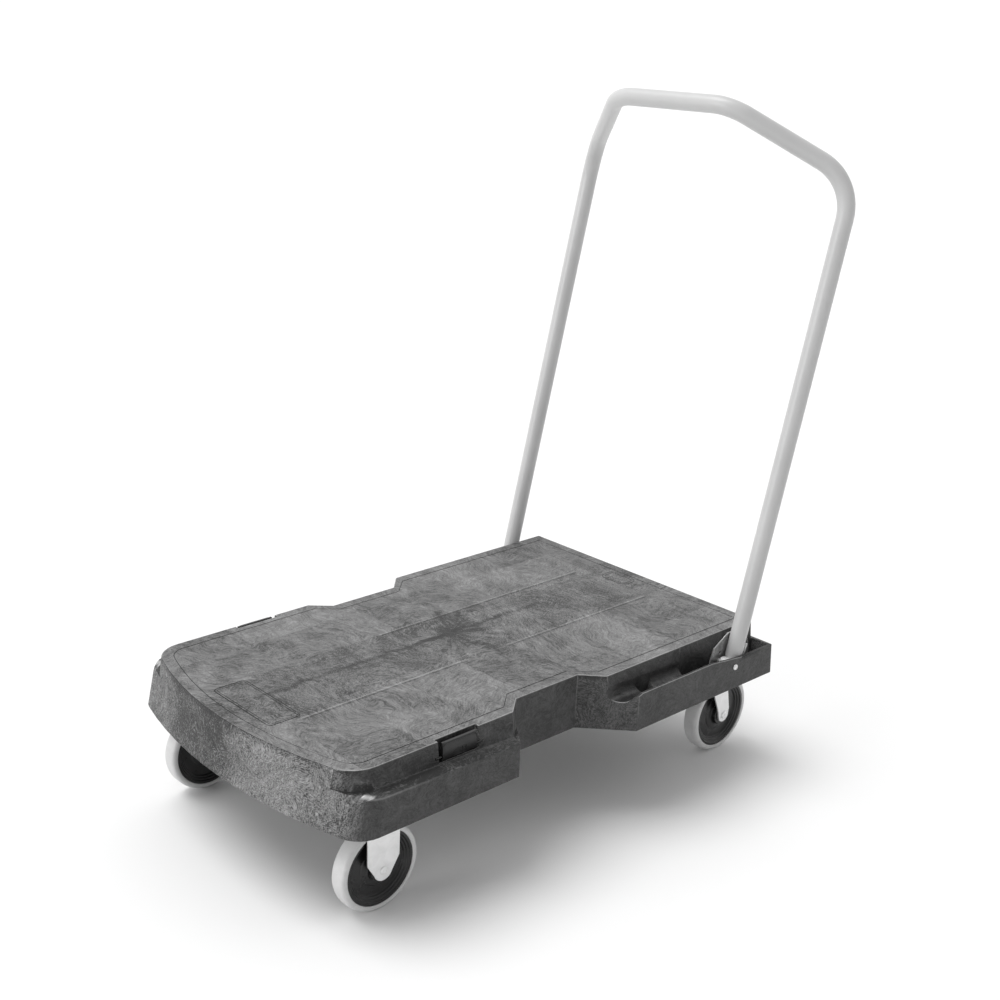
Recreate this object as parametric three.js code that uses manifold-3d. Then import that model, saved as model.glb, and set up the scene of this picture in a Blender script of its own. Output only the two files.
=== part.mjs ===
// Furniture dolly with a fold-down push handle. Millimetres, +Z up, +Y towards the handle end.
// The model is drawn with X = 0 on its mid-plane, Z = 0 on the floor and Y = 0 halfway along the
// deck. At the end the whole group moves along Y, so that its box is centred on the origin.
import * as THREE from 'three';
import { mergeVertices } from 'three/addons/utils/BufferGeometryUtils.js';
import Module from 'manifold-3d';

const wasm = await Module();
wasm.setup();

// ---------- driving dimensions ----------

const radians = THREE.MathUtils.degToRad;

const GAP = 0.3; // between touching pieces

const deck = {
  noseTip: -416, topNoseTip: -408.5, rear: 418.5, topRear: 405.5, top: 225.5, bottom: 142.5, noseHalf: 196,
  topHalfWidth: 225, skirtHalfWidth: 250.5, rearHalfWidth: 262.5, rearTopHalfWidth: 229,
  waistHalfWidth: 200, waist: [-100, -70, 46, 78], skirtWaistStart: -108,
  skirtRearFlare: [50, 112],
  topNoseRadius: 600, topCornerRadius: 46, skirtNoseRadius: 800, skirtCornerRadius: 40,
  draft: 6, draftHeight: 46, wall: 4.5, plate: 7,
  ribThickness: 4, ribBottom: 148, ribsAlong: [-155, -52, 52, 155],
  ribsAcross: [-335, -250, -150, -50, 50, 150, 250, 366],
  rearLean: [6, 4], noseThickening: 8,
  rearWallTop: 191, sideWallTop: 199.5, mouthZ: 192, sideWallRise: [100, 120], sideWallFall: [275, 345],
  pocketFrom: 236, pocketFloor: 160, slabUnder: 155.6, mountFace: 155.5,
  dipTop: [134, 177], dipFloor: [146, 168], dipZ: 177,
};

const tube = { radius: 12.7, wall: 1.6, arcSteps: 6 };
const pivot = { y: 329.5, z: 178.8, boltRadius: 3 };
const handle = {
  lean: 12.5, legX: 244.6, offset: 16.2, legEnd: -5.5, legCorner: 713.5, barHalf: 104,
  barRise: 779.5, barForward: 114.4, cornerBend: 75, barBend: 70, foldedSlope: 1.5,
};

const latch = { x: 226.5, z: 203, y: -197, length: 60, notch: 70, pinRadius: 2, thickness: 5 };

const wheel = { radius: 62.5, rim: 53.5, halfWidth: 13, x: 197.5, bore: 9, axle: 5 };
const fork = { gap: 15.5, plate: 2.5, plateHalfX: 32, plateHalfY: 47, plateThick: 3 };
const frontAxleY = -309;
const rearAxleY = 382;
const kingpinY = 350;
const screwOffset = { x: 22, y: 38 };
const SCREW_PLACES = [[-1, -1], [-1, 1], [1, -1], [1, 1]].map(
  ([x, y]) => [x * screwOffset.x, y * screwOffset.y],
);
const screw = { shank: 2.8, head: 6.5, headHeight: 3.2, length: 18 };

// ---------- materials ----------

function makeMaterial(color, roughness, metalness) {
  return new THREE.MeshStandardMaterial({ color, roughness, metalness });
}

const deckPlastic = () => makeMaterial(0x3b3b3c, 0.62, 0);
const greyPaint = () => makeMaterial(0xc9cacb, 0.4, 0.2);
const zincSteel = () => makeMaterial(0xdfe1e3, 0.35, 0.9);
const greyRubber = () => makeMaterial(0xbfc0c0, 0.6, 0);
const hubPlastic = () => makeMaterial(0x161617, 0.3, 0);
const clipPlastic = () => makeMaterial(0x1d1d1e, 0.45, 0);
const bushSteel = () => makeMaterial(0xb8b9bb, 0.45, 0.8);

// ---------- solids ----------

function indexedToSolid(geometry) {
  return new wasm.Manifold(new wasm.Mesh({
    numProp: 3,
    vertProperties: geometry.attributes.position.array,
    triVerts: Uint32Array.from(geometry.index.array),
  }));
}

function toSolid(geometry) {
  const bare = geometry.clone();
  bare.deleteAttribute('normal');
  bare.deleteAttribute('uv');
  return indexedToSolid(mergeVertices(bare, 1e-4));
}

function toGeometry(solid) {
  const mesh = solid.getMesh();
  const geometry = new THREE.BufferGeometry();
  geometry.setAttribute('position', new THREE.BufferAttribute(mesh.vertProperties, 3));
  geometry.setIndex(new THREE.BufferAttribute(mesh.triVerts, 1));
  return geometry;
}

// A copy of a solid moved by a matrix. A mirroring matrix turns the faces inside out, so their
// corners are put in the other order.
function moved(solid, matrix) {
  const geometry = toGeometry(solid).applyMatrix4(matrix);
  if (matrix.determinant() < 0) geometry.index.array.reverse();
  return indexedToSolid(geometry);
}

const shifted = (solid, x, y, z) => moved(solid, new THREE.Matrix4().makeTranslation(x, y, z));
const mirrored = (solid) => moved(solid, new THREE.Matrix4().makeScale(-1, 1, 1));
const tilted = (solid, angle) => moved(solid, new THREE.Matrix4().makeRotationX(radians(angle)));
const onBothSides = (solid) => solid.add(mirrored(solid));

const unite = (solids) => solids.reduce((sum, solid) => sum.add(solid));
const cut = (solid, cutters) => solid.subtract(unite(cutters));

function box(x0, x1, y0, y1, z0, z1) {
  const geometry = new THREE.BoxGeometry(x1 - x0, y1 - y0, z1 - z0);
  return toSolid(geometry.translate((x0 + x1) / 2, (y0 + y1) / 2, (z0 + z1) / 2));
}

function cylinder(axis, radius, centre, length, sides = 16) {
  const geometry = new THREE.CylinderGeometry(radius, radius, length, sides);
  if (axis === 'x') geometry.rotateZ(-Math.PI / 2);
  if (axis === 'z') geometry.rotateX(Math.PI / 2);
  return toSolid(geometry.translate(...centre));
}

function shapeOf(points) {
  return new THREE.Shape(points.map(([a, b]) => new THREE.Vector2(a, b)));
}

const PLAIN = { bevelEnabled: false, curveSegments: 6 };

// A plan outline in X and Y, raised from z0 to z1.
function extrudeZ(shape, z0, z1, options = {}) {
  const geometry = new THREE.ExtrudeGeometry(shape, { ...PLAIN, depth: z1 - z0, ...options });
  return toSolid(geometry.translate(0, 0, z0));
}

// A solid between two plan outlines with the same number of corners, one at z0 and one at z1.
function loftZ(lower, z0, upper, z1) {
  const geometry = new THREE.ExtrudeGeometry(lower, { ...PLAIN, depth: z1 - z0 });
  const key = (point) => `${Math.fround(point.x)} ${Math.fround(point.y)}`;
  const target = new Map(lower.getPoints().map((point, i) => [key(point), upper.getPoints()[i]]));
  const position = geometry.attributes.position;
  for (let i = 0; i < position.count; i += 1) {
    if (position.getZ(i) > 0) {
      const point = target.get(key(new THREE.Vector2(position.getX(i), position.getY(i))));
      position.setXY(i, point.x, point.y);
    }
  }
  return toSolid(geometry.translate(0, 0, z0));
}

// A side outline in Y and Z, extruded along X.
function extrudeX(shape, x0, x1) {
  const geometry = new THREE.ExtrudeGeometry(shape, { ...PLAIN, depth: x1 - x0 });
  const turn = new THREE.Matrix4().set(0, 0, 1, x0, 1, 0, 0, 0, 0, 1, 0, 0, 0, 0, 0, 1);
  return toSolid(geometry.applyMatrix4(turn));
}

// A cross-section in X and Z, extruded along Y.
function extrudeY(shape, y0, y1) {
  const geometry = new THREE.ExtrudeGeometry(shape, { ...PLAIN, depth: y1 - y0 });
  return toSolid(geometry.rotateX(Math.PI / 2).translate(0, y1, 0));
}

// A round piece from a profile of [radius, distance along the axis], turned about X or Z.
function lathe(axis, profile, centre, segments = 24) {
  const points = profile.map(([radius, along]) => new THREE.Vector2(radius, along));
  const geometry = new THREE.LatheGeometry(points, segments);
  if (axis === 'x') geometry.rotateZ(-Math.PI / 2);
  if (axis === 'z') geometry.rotateX(Math.PI / 2);
  return toSolid(geometry.translate(...centre));
}

const closed = (profile) => [...profile, profile[0]];

function hexagon(radius) {
  const corners = [0, 1, 2, 3, 4, 5].map((i) => (i * Math.PI) / 3);
  return shapeOf(corners.map((angle) => [radius * Math.cos(angle), radius * Math.sin(angle)]));
}

// ---------- the assembly ----------

const dolly = new THREE.Group();

// A left-hand piece is the mirror image of the right-hand one.
function addMesh(name, solid, material, side = 1) {
  const placed = side === 1 ? solid : mirrored(solid);
  const mesh = new THREE.Mesh(toGeometry(placed), material);
  mesh.name = name;
  dolly.add(mesh);
}

const SIDES = [['right', 1], ['left', -1]];

// ---------- the folded handle's line, which the deck's ledges and troughs follow ----------

const slope = Math.tan(radians(handle.foldedSlope));
const ledgeGap = 2.3;
const foldedLegZ = (y) => pivot.z + handle.offset + (pivot.y - y) * slope;
const ledgeZ = (y) => foldedLegZ(y) - tube.radius - ledgeGap;

// ---------- deck ----------

// Half-outline points from the nose to the rear, mirrored to make the whole outline. The nose is
// one wide arc, with a smaller arc at each corner that is tangent to it and to the side.
function deckOutline(size) {
  const { nose, noseRadius, cornerRadius, side, waistStart, waist, rearSide, flare, rear } = size;
  const noseCentre = nose + noseRadius;
  const cornerX = side - cornerRadius;
  const reach = noseRadius - cornerRadius;
  const cornerY = noseCentre - Math.sqrt(reach * reach - cornerX * cornerX);
  const tangentAngle = Math.atan2(cornerX, noseCentre - cornerY);
  const half = [];
  const noseSteps = 6;
  for (let i = 0; i < noseSteps; i += 1) {
    const angle = (tangentAngle * i) / noseSteps;
    half.push([noseRadius * Math.sin(angle), noseCentre - noseRadius * Math.cos(angle)]);
  }
  const cornerSteps = 6;
  for (let i = 0; i <= cornerSteps; i += 1) {
    const angle = tangentAngle + ((Math.PI / 2 - tangentAngle) * i) / cornerSteps;
    half.push([cornerX + cornerRadius * Math.sin(angle), cornerY - cornerRadius * Math.cos(angle)]);
  }
  half.push([side, waistStart], [waist, deck.waist[1]], [waist, flare[0]], [rearSide, flare[1]]);
  half.push([rearSide, rear]);
  const other = half.slice(1).reverse().map(([x, y]) => [-x, y]);
  return shapeOf([...half, ...other]);
}

const topPart = (inset) => deckOutline({
  nose: deck.topNoseTip + inset, noseRadius: deck.topNoseRadius - inset,
  cornerRadius: deck.topCornerRadius - inset, side: deck.topHalfWidth - inset,
  waistStart: deck.waist[0],
  waist: deck.waistHalfWidth - inset, rearSide: deck.rearTopHalfWidth - inset,
  flare: [deck.waist[2], deck.waist[3]], rear: deck.topRear - inset,
});

const skirtPart = (
  inset, nose = deck.noseTip, noseRadius = deck.skirtNoseRadius, rear = deck.rear,
) => deckOutline({
  nose: nose + inset, noseRadius: noseRadius - inset,
  cornerRadius: deck.skirtCornerRadius - inset, side: deck.skirtHalfWidth - inset,
  waistStart: deck.skirtWaistStart,
  waist: deck.waistHalfWidth - inset, rearSide: deck.rearHalfWidth - inset,
  flare: deck.skirtRearFlare, rear: rear - inset,
});

// The line of the low sides: a sloping ledge at the nose, and a wall at the rear that rises behind
// the trough's mouth and falls again at the pivot. drop lowers the line, for the hollow
// underneath, and end closes it off.
function sideLine(drop, end) {
  const front = deck.noseTip - 20;
  const behind = deck.rear + 20;
  const waistEnd = deck.waist[1];
  const { sideWallRise: rise, sideWallFall: fall } = deck;
  const mouth = deck.mouthZ - drop;
  const wall = deck.sideWallTop - drop;
  const low = deck.rearWallTop - drop;
  return shapeOf([
    [front, end], [behind, end], [behind, low], [fall[1], low], [fall[0], wall],
    [rise[1], wall], [rise[0], mouth], [waistEnd, mouth],
    [waistEnd - 1, ledgeZ(waistEnd) - drop], [front, ledgeZ(front) - drop],
  ]);
}

const grooveInner = deck.rearTopHalfWidth;
const grooveOuter = deck.rearHalfWidth - deck.wall;

// The trough's rounded section, open upwards and wide enough for the folded leg.
function troughSection() {
  const middle = (grooveInner + grooveOuter) / 2;
  const radius = (grooveOuter - grooveInner) / 2;
  const shape = new THREE.Shape();
  shape.moveTo(middle - radius, 100);
  shape.absarc(middle, radius, radius, Math.PI, 2 * Math.PI, false);
  shape.lineTo(middle + radius, 100);
  return shape;
}

// The whole block leans in at the nose and a little at the rear. What stands above the side line
// and outside the drafted top part is then taken off, except at the middle of the nose, which
// stays one sloping face.
function makeDeck() {
  const [below, above] = deck.rearLean;
  const lower = skirtPart(0, deck.noseTip, deck.skirtNoseRadius, deck.rear + below);
  const upper = skirtPart(0, deck.topNoseTip, deck.topNoseRadius, deck.rear - above);
  const block = loftZ(lower, deck.bottom, upper, deck.top);
  const drafted = loftZ(topPart(-deck.draft), deck.top - deck.draftHeight, topPart(0), deck.top);
  const nose = box(-deck.noseHalf, deck.noseHalf, -430, -300, deck.top - deck.draftHeight, deck.top);
  const overSides = extrudeX(sideLine(0, 260), -300, 300);
  const offcut = cut(overSides, [drafted, nose]);
  const rightCutters = unite([
    makeTroughCutter(), makePocketCutter(), makeNoseCornerCutter(), makeLatchNotch(),
    cylinder('x', pivot.boltRadius + GAP, [240, pivot.y, pivot.z], 60, 12),
    makeScrewHoles(frontAxleY), makeScrewHoles(kingpinY),
  ]);
  return cut(block, [offcut, onBothSides(rightCutters), makeUnderside()]);
}

// The half-round channel that the folded leg lies in, from the rear pocket to the waist.
function makeTroughCutter() {
  const from = deck.waist[2];
  const to = deck.pocketFrom + 4;
  const level = extrudeY(troughSection(), from - to, 0);
  const trough = shifted(tilted(level, -handle.foldedSlope), 0, to, ledgeZ(to));
  return trough.add(makeTroughDip());
}

// A deeper dip across the trough, with sloping ends.
function makeTroughDip() {
  const { dipTop, dipFloor, dipZ } = deck;
  const outline = shapeOf([
    [dipTop[0], 205], [dipFloor[0], dipZ], [dipFloor[1], dipZ], [dipTop[1], 205],
  ]);
  return extrudeX(outline, grooveInner, grooveOuter);
}

function makePocketCutter() {
  const slopeTop = deck.pocketFrom;
  const outline = shapeOf([
    [slopeTop + 16, deck.pocketFloor], [deck.rear - deck.wall, deck.pocketFloor],
    [deck.rear - deck.wall, 260], [slopeTop, 260], [slopeTop, deck.pocketFloor + 22],
  ]);
  return extrudeX(outline, grooveInner, grooveOuter);
}

// Room for the tube's bend as it comes down past the corner of the nose.
function makeNoseCornerCutter() {
  const clear = tube.radius + 1.5;
  const outline = new THREE.Shape().absarc(0, 0, clear, 0, 2 * Math.PI, false);
  const bend = new BentPath(handlePieces().slice(0, 3), [1, 5, 1]);
  const geometry = new THREE.ExtrudeGeometry(outline, {
    ...PLAIN, steps: bend.total, extrudePath: bend, curveSegments: 6,
  });
  const folded = tilted(toSolid(geometry), 90 - handle.foldedSlope);
  return aboutPivot(folded).intersect(box(0, 300, -430, -325, 130, 260));
}

function makeLatchNotch() {
  const half = latch.notch / 2;
  const opening = box(latch.x - 8, 300, latch.y - half, latch.y + half, latch.z - 7, 260);
  const pinLine = [latch.x, latch.y, latch.z];
  const pinHole = cylinder('y', latch.pinRadius + GAP, pinLine, latch.notch + 12, 10);
  return opening.add(pinHole);
}

function makeScrewHoles(y) {
  return unite(SCREW_PLACES.map(([dx, dy]) => {
    const centre = [wheel.x + dx, y + dy, deck.mountFace + 8];
    return cylinder('z', screw.shank + GAP, centre, 24, 8);
  }));
}

// Everything solid below the top plate on the right: the pocket's floor and walls, the block
// around the latch notch, the block behind the nose corner's channel, and the screw bosses.
function makeSolidParts() {
  const notchHalf = latch.notch / 2 + 12;
  const parts = [
    box(grooveInner - deck.wall, 300, deck.waist[3], 430, deck.slabUnder, 260),
    box(latch.x - 13, 300, latch.y - notchHalf, latch.y + notchHalf, latch.z - 12, 260),
    box(160, 300, -430, -350, 166, 260),
  ];
  for (const y of [frontAxleY, kingpinY]) {
    for (const [dx, dy] of SCREW_PLACES) {
      const centre = [wheel.x + dx, y + dy, 200];
      parts.push(cylinder('z', 7.5, centre, 2 * (200 - deck.mountFace), 8));
    }
  }
  return unite(parts);
}

function makeRibs() {
  const half = deck.ribThickness / 2;
  const ribs = [];
  for (const x of deck.ribsAlong) {
    ribs.push(box(x - half, x + half, -430, 430, deck.ribBottom, 260));
  }
  for (const y of deck.ribsAcross) {
    ribs.push(box(-300, 300, y - half, y + half, deck.ribBottom, 260));
  }
  return unite(ribs);
}

// The hollow under the deck, less its ribs and solid parts. It is open downwards, and stays further
// from the nose, whose outer face leans back over it.
function makeUnderside() {
  const below = deck.bottom - 1;
  const inset = deck.wall + 2.5;
  const high = extrudeZ(topPart(deck.wall), below, deck.top - deck.plate);
  const hollowNose = deck.noseTip + deck.noseThickening;
  const low = extrudeZ(skirtPart(inset, hollowNose), below, deck.top).intersect(
    extrudeX(sideLine(5, 100), -300, 300),
  );
  const hollow = cut(high.add(low), [onBothSides(makeSolidParts()), makeRibs()]);
  const sides = unite([makeTroughHollow(), makeCasterBay(frontAxleY), makeCasterBay(kingpinY)]);
  return hollow.add(onBothSides(sides));
}

// Lightens the solid under the rear trough, between the pocket and the flare of the skirt.
function makeTroughHollow() {
  const from = deck.skirtRearFlare[1] + 2;
  const to = deck.pocketFrom - 2;
  const inner = grooveInner - deck.wall - 1;
  return box(inner, grooveOuter, from, to, deck.bottom - 1, deck.dipZ - 6);
}

// A level bay that a caster's plate sits in, below the ribs.
function makeCasterBay(y) {
  const reachX = fork.plateHalfX + 3;
  const reachY = fork.plateHalfY + 3;
  return box(
    wheel.x - reachX, wheel.x + reachX, y - reachY, y + reachY, deck.bottom - 1, deck.mountFace,
  );
}

// ---------- handle ----------

// A path made of straight and curved pieces, with a chosen number of steps in each.
class BentPath extends THREE.Curve {
  constructor(pieces, steps) {
    super();
    this.pieces = pieces;
    this.steps = steps;
    this.total = steps.reduce((sum, count) => sum + count, 0);
  }

  locate(u) {
    let along = u * this.total;
    let index = 0;
    while (index < this.pieces.length - 1 && along > this.steps[index]) {
      along -= this.steps[index];
      index += 1;
    }
    return [this.pieces[index], Math.min(along / this.steps[index], 1)];
  }

  getPoint(u) {
    const [piece, t] = this.locate(u);
    return piece.getPoint(t);
  }

  getPointAt(u) {
    return this.getPoint(u);
  }

  getTangentAt(u) {
    const [piece, t] = this.locate(u);
    return piece.getTangent(t);
  }
}

// Straight pieces and bends through a list of corners, in the handle's own frame: X across, Y
// backwards and Z up along the legs, with the pivot at the origin.
function bentPieces(corners, radii) {
  const pieces = [];
  let start = corners[0];
  for (let i = 1; i < corners.length - 1; i += 1) {
    const back = corners[i - 1].clone().sub(corners[i]).normalize();
    const ahead = corners[i + 1].clone().sub(corners[i]).normalize();
    const halfAngle = back.angleTo(ahead) / 2;
    const length = radii[i - 1] / Math.tan(halfAngle);
    const turn = Math.PI - 2 * halfAngle;
    const pull = (4 / 3) * Math.tan(turn / 4) * radii[i - 1];
    const bendStart = corners[i].clone().addScaledVector(back, length);
    const bendEnd = corners[i].clone().addScaledVector(ahead, length);
    pieces.push(new THREE.LineCurve3(start, bendStart));
    pieces.push(new THREE.CubicBezierCurve3(
      bendStart,
      bendStart.clone().addScaledVector(back, -pull),
      bendEnd.clone().addScaledVector(ahead, -pull),
      bendEnd,
    ));
    start = bendEnd;
  }
  pieces.push(new THREE.LineCurve3(start, corners.at(-1)));
  return pieces;
}

function handlePieces() {
  const { legX, offset, legEnd, legCorner, barHalf, barRise, barForward } = handle;
  const right = [
    new THREE.Vector3(legX, offset, legEnd),
    new THREE.Vector3(legX, offset, legCorner),
    new THREE.Vector3(barHalf, -barForward, barRise),
  ];
  const left = right.map((point) => new THREE.Vector3(-point.x, point.y, point.z)).reverse();
  const bends = [handle.cornerBend, handle.barBend, handle.barBend, handle.cornerBend];
  return bentPieces([...right, ...left], bends);
}

const aboutPivot = (solid) => shifted(solid, 0, pivot.y, pivot.z);
const leaning = (solid) => aboutPivot(tilted(solid, -handle.lean));

function makeHandleTube() {
  const ring = new THREE.Shape().absarc(0, 0, tube.radius, 0, 2 * Math.PI, false);
  const bore = new THREE.Path().absarc(0, 0, tube.radius - tube.wall, 0, 2 * Math.PI, true);
  ring.holes.push(bore);
  const path = new BentPath(handlePieces(), [1, 5, 1, 5, 1, 5, 1, 5, 1]);
  const geometry = new THREE.ExtrudeGeometry(ring, {
    ...PLAIN, steps: path.total, extrudePath: path, curveSegments: tube.arcSteps,
  });
  return leaning(toSolid(geometry));
}

// The lug in front of each leg, which carries the pivot bolt.
function makeHandleLug() {
  const shape = new THREE.Shape();
  const round = 8;
  shape.absarc(0, 0, round, Math.PI / 2, (3 * Math.PI) / 2, false);
  shape.lineTo(handle.offset, -round);
  shape.lineTo(handle.offset, round);
  shape.closePath();
  const block = extrudeX(shape, handle.legX - 7, handle.legX + 7);
  const seat = cylinder('z', tube.radius + GAP, [handle.legX, handle.offset, 0], 120, 24);
  const bore = cylinder('x', pivot.boltRadius + 0.1, [handle.legX, 0, 0], 40);
  return leaning(cut(block, [seat, bore]));
}

// ---------- pivots ----------

const stopGap = 1; // the end of the leg swings past the stop tab

function makeBracket() {
  const inner = grooveInner + GAP;
  const outer = inner + 2.3;
  const floor = deck.pocketFloor + GAP;
  const web = extrudeX(shapeOf([
    [308, floor], [404, floor], [404, 178], [399, 195], [367, 219], [347, 219], [316, 201], [310, 184],
  ]), inner, outer);
  const foot = box(inner, grooveOuter - 2, 350, 404, floor, floor + 2.5);
  const tab = box(-11, 9, 0, 2.5, -15, 32);
  const tabPlaced = leaning(shifted(tab, handle.legX, handle.offset + tube.radius + stopGap, 0));
  const below = box(0, 300, 300, 420, floor, 300);
  const body = unite([web, foot, tabPlaced.intersect(below)]);
  return cut(body, [
    cylinder('x', pivot.boltRadius + GAP, [inner, pivot.y, pivot.z], 20),
    cylinder('x', 2.5, [inner, pivot.y + 2, pivot.z + 11.5], 20),
  ]);
}

function makePivotBolt() {
  const face = deck.rearHalfWidth + GAP;
  const tip = deck.rearTopHalfWidth - deck.wall - 9;
  return lathe('x', [
    [0, tip], [pivot.boltRadius - 0.6, tip], [pivot.boltRadius, tip + 1], [pivot.boltRadius, face],
    [4.6, face], [4.4, face + 1.6], [3, face + 2.6], [0, face + 3],
  ], [0, pivot.y, pivot.z], 20);
}

function makePivotNut() {
  const face = deck.rearTopHalfWidth - deck.wall - GAP;
  const shape = hexagon(7);
  shape.holes.push(new THREE.Path().absarc(0, 0, pivot.boltRadius + GAP, 0, 2 * Math.PI, true));
  return shifted(extrudeX(shape, face - 6, face), 0, pivot.y, pivot.z);
}

// ---------- latch clips ----------

function makeLatchClip() {
  const top = deck.top - 2.5 - latch.z;
  const shape = shapeOf([
    [2.6, -5], [4.4, 0], [3.2, 10], [1.8, top], [-1.4, top], [-1.8, 10], [-4.2, 2], [-3.4, -5],
  ]);
  const plate = extrudeY(shape, -latch.length / 2, latch.length / 2);
  const bore = cylinder('y', latch.pinRadius + GAP, [0, 0, 0], latch.length + 10, 12);
  const recesses = [[-10, 4], [5.5, 10]].map(([from, to]) => box(2.7, 10, from, to, -3.5, 6));
  return shifted(cut(plate, [bore, ...recesses]), latch.x, latch.y, latch.z);
}

function makeLatchPin() {
  return cylinder('y', latch.pinRadius, [latch.x, latch.y, latch.z], latch.notch + 10, 12);
}

// ---------- casters ----------

function makeTread(y) {
  const { radius, rim, halfWidth } = wheel;
  return lathe('x', closed([
    [rim + GAP, -halfWidth + 1], [radius - 4.5, -halfWidth], [radius - 1.2, -halfWidth + 2],
    [radius, -halfWidth + 6], [radius, halfWidth - 6], [radius - 1.2, halfWidth - 2],
    [radius - 4.5, halfWidth], [rim + GAP, halfWidth - 1],
  ]), [wheel.x, y, radius]);
}

function makeHub(y) {
  const { rim, halfWidth } = wheel;
  const sleeve = wheel.bore + GAP;
  const face = halfWidth - 1.5;
  return lathe('x', closed([
    [sleeve, -14.6], [17, -14.6], [18.5, -6], [44, -5], [47.5, -face], [rim, -face],
    [rim, face], [47.5, face], [44, 5], [18.5, 6], [17, 14.6], [sleeve, 14.6],
  ]), [wheel.x, y, wheel.radius]);
}

function makeBush(y) {
  const half = fork.gap - GAP;
  const inner = wheel.axle + 0.2;
  const profile = [[inner, -half], [wheel.bore, -half], [wheel.bore, half], [inner, half]];
  return lathe('x', closed(profile), [wheel.x, y, wheel.radius], 14);
}

// The axle is a plain pin through both fork legs, peened over to a low head at each end.
function makeAxle(y) {
  const face = fork.gap + fork.plate + GAP;
  const { axle } = wheel;
  const end = face + 1.6;
  return lathe('x', [
    [0, -end], [axle - 1, -end], [axle + 1.3, -face], [axle, -face],
    [axle, face], [axle + 1.3, face], [axle - 1, end], [0, end],
  ], [wheel.x, y, wheel.radius], 16);
}

// One fork leg seen from the side: wide at the crown, tapering to a round end at the axle.
function forkLeg(crownFrom, crownTo, crownZ, shoulderFrom, shoulderTo, shoulderZ, endRadius, axleY) {
  const shape = new THREE.Shape();
  shape.moveTo(crownTo, crownZ);
  shape.lineTo(crownFrom, crownZ);
  shape.lineTo(shoulderFrom, shoulderZ);
  shape.absarc(axleY, wheel.radius, endRadius, Math.PI * 1.1, Math.PI * 1.9, false);
  shape.lineTo(shoulderTo, shoulderZ);
  return shape;
}

function makeForkLegs(shape) {
  const inner = fork.gap;
  const outer = fork.gap + fork.plate;
  const right = extrudeX(shape, wheel.x + inner, wheel.x + outer);
  const left = extrudeX(shape, wheel.x - outer, wheel.x - inner);
  return right.add(left);
}

function makeMountPlate(y, hole) {
  const thick = fork.plateThick;
  const top = deck.mountFace - GAP;
  const plate = box(
    wheel.x - fork.plateHalfX, wheel.x + fork.plateHalfX,
    y - fork.plateHalfY, y + fork.plateHalfY, top - thick, top,
  );
  const holes = hole ? [cylinder('z', hole, [wheel.x, y, top], 20)] : [];
  for (const [dx, dy] of SCREW_PLACES) {
    holes.push(cylinder('z', screw.shank + GAP, [wheel.x + dx, y + dy, top], 20, 8));
  }
  return cut(plate, holes);
}

function makeFrontFork() {
  const y = frontAxleY;
  const plateUnder = deck.mountFace - GAP - fork.plateThick;
  const half = 26;
  const shape = forkLeg(y - half, y + half, plateUnder + 1, y - half, y + half, 77, 15, y);
  const legs = makeForkLegs(shape);
  const body = legs.add(makeMountPlate(y, 0));
  return cut(body, [cylinder('x', wheel.axle + 0.2, [wheel.x, y, wheel.radius], 60)]);
}

const crown = { top: 144, thick: 3.2, radius: 28 };
const kingpin = { radius: 8, head: 13 };

function makeSwivelFork() {
  const crownUnder = crown.top - crown.thick;
  const shape = forkLeg(
    kingpinY - 13, kingpinY + 28, crownUnder + 1, rearAxleY - 14, rearAxleY + 12, 72, 11.5, rearAxleY,
  );
  const crownMiddle = [wheel.x, kingpinY, crown.top - crown.thick / 2];
  const plate = cylinder('z', crown.radius, crownMiddle, crown.thick, 20);
  const body = makeForkLegs(shape).add(plate);
  return cut(body, [
    cylinder('x', wheel.axle + 0.2, [wheel.x, rearAxleY, wheel.radius], 60),
    cylinder('z', kingpin.radius + GAP, [wheel.x, kingpinY, crown.top], 20),
  ]);
}

function makeRace() {
  const top = deck.mountFace - GAP - fork.plateThick - GAP;
  const under = crown.top + GAP;
  return lathe('z', closed([
    [kingpin.radius + GAP, under], [24, under], [28.5, under + 1], [28.5, top - 3],
    [26, top], [kingpin.radius + GAP, top],
  ]), [wheel.x, kingpinY, 0], 16);
}

function makeKingpin() {
  const top = deck.mountFace - 2 * GAP;
  const under = crown.top - crown.thick - GAP;
  return lathe('z', [
    [0, under - 4], [kingpin.head - 6, under - 4], [kingpin.head - 2, under - 2.8],
    [kingpin.head, under], [kingpin.radius, under], [kingpin.radius, top], [0, top],
  ], [wheel.x, kingpinY, 0], 12);
}

function makeScrew(x, y) {
  const face = deck.mountFace - GAP - fork.plateThick - GAP;
  return lathe('z', [
    [0, face - screw.headHeight], [screw.head - 2, face - screw.headHeight], [screw.head, face],
    [screw.shank, face], [screw.shank, face + screw.length], [0, face + screw.length],
  ], [x, y, 0], 8);
}

function addScrews(place, y, sideName, side) {
  for (const [i, [dx, dy]] of SCREW_PLACES.entries()) {
    const name = `${place}_caster_screw_${sideName}_${i + 1}`;
    addMesh(name, makeScrew(wheel.x + dx, y + dy), zincSteel(), side);
  }
}

function addWheel(place, y, sideName, side) {
  addMesh(`${place}_wheel_tread_${sideName}`, makeTread(y), greyRubber(), side);
  addMesh(`${place}_wheel_hub_${sideName}`, makeHub(y), hubPlastic(), side);
  addMesh(`${place}_wheel_bush_${sideName}`, makeBush(y), bushSteel(), side);
  addMesh(`${place}_axle_${sideName}`, makeAxle(y), zincSteel(), side);
}

// ---------- put together ----------

addMesh('deck', makeDeck(), deckPlastic());
addMesh('handle_tube', makeHandleTube(), greyPaint());

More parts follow.
